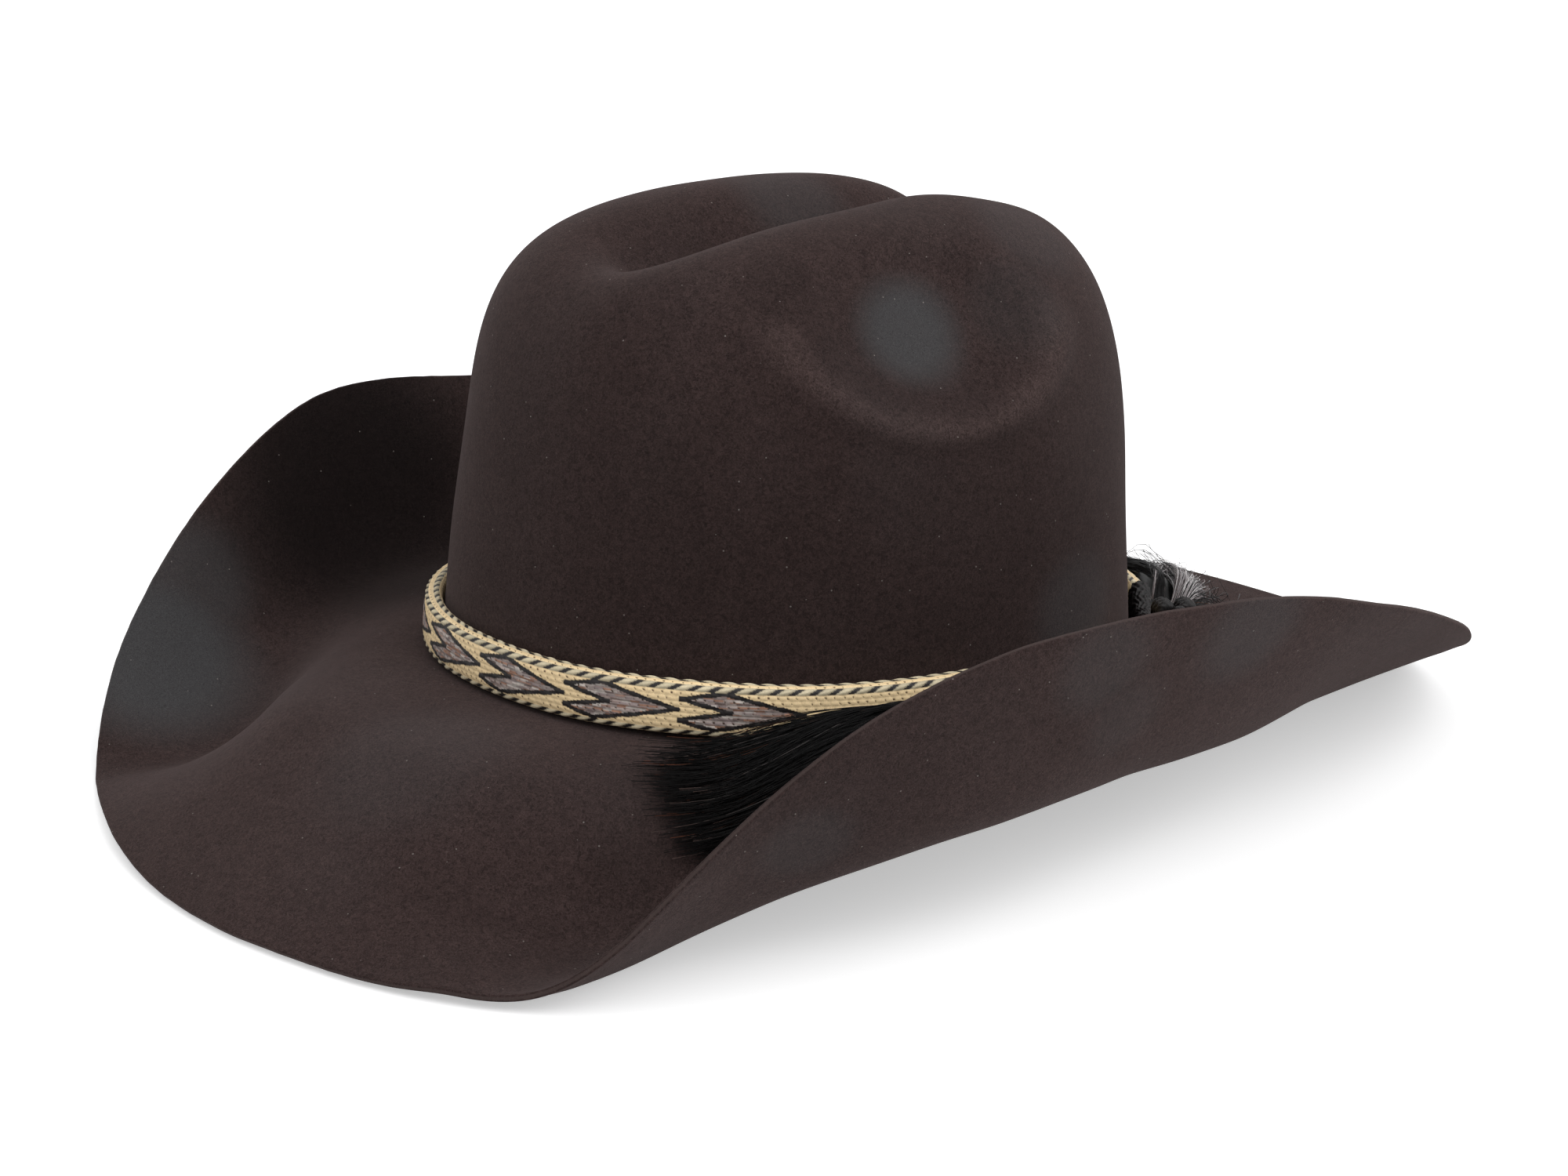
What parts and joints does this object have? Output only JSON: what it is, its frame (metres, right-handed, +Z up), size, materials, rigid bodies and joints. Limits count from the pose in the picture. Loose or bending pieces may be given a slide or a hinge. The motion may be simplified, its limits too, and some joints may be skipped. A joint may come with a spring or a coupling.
{
  "type": "cowboy hat",
  "caption": "Felt western hat with a creased crown, rolled brim, leather sweatband, satin liner and a hitched horsehair band with slide closure and tassels.",
  "frame": {"origin": "middle of the brim's outline, at the height of the surface that the brim's front and back rest on", "axes": "+Z up, -Y towards the front of the hat, +X towards the wearer's left"},
  "size_m": [0.3184, 0.4036, 0.1563],
  "materials": {
    "felt": "brushed dark brown felt",
    "leather": "smooth tan leather",
    "reed": "matt",
    "tape": "woven tape",
    "thread": "waxed thread",
    "ribbon": "satin ribbon",
    "tag": "blank woven tab",
    "satin": "satin",
    "piping": "corded satin",
    "hitched_hair": "hitched horsehair",
    "black_hair": "wrapped black horsehair",
    "loose_black_hair": "loose horsehair",
    "loose_grey_hair": "loose horsehair with pale tips"
  },
  "bodies": {
    "hat": {"felt_body": "felt", "sweatband": "leather", "sweatband_reed": "reed", "reed_tape": "tape", "sweatband_stitching": "thread", "back_seam": "thread", "sweatband_bow": "ribbon", "size_tag": "tag", "liner_side": "satin", "liner_tip": "satin", "liner_piping": "piping"},
    "band": {"hatband": "hitched_hair", "band_wrap_front": "black_hair", "band_wrap_rear": "black_hair", "closure_cord_front": "black_hair", "closure_cord_rear": "black_hair"},
    "slide": {"slide_knot": "hitched_hair"},
    "tassel_front": {"tassel_knots_front": "black_hair", "tassel_hair_front": "loose_black_hair"},
    "tassel_rear": {"tassel_knots_rear": "black_hair", "tassel_hair_rear": "loose_grey_hair"}
  },
  "joints": [
    {"name": "band_lift", "type": "slide", "parent": "hat", "child": "band", "axis": [0, 0.0478, 0.9989], "range_m": [0, 0.12]},
    {"name": "slide_knot_shift", "type": "hinge", "parent": "band", "child": "slide", "pos_m": [-0.01326, 0.00318, 0.02887], "axis": [0, 0.0478, 0.9989], "range_deg": [-4, 4]},
    {"name": "tassel_front_swing", "type": "hinge", "parent": "band", "child": "tassel_front", "pos_m": [0.10016, -0.01729, 0.03345], "axis": [-0.9951, 0.0992, -0.0048], "range_deg": [0, 60]},
    {"name": "tassel_rear_swing", "type": "hinge", "parent": "band", "child": "tassel_rear", "pos_m": [0.05471, 0.09771, 0.02939], "axis": [0.4804, 0.876, -0.042], "range_deg": [0, 60]}
  ]
}
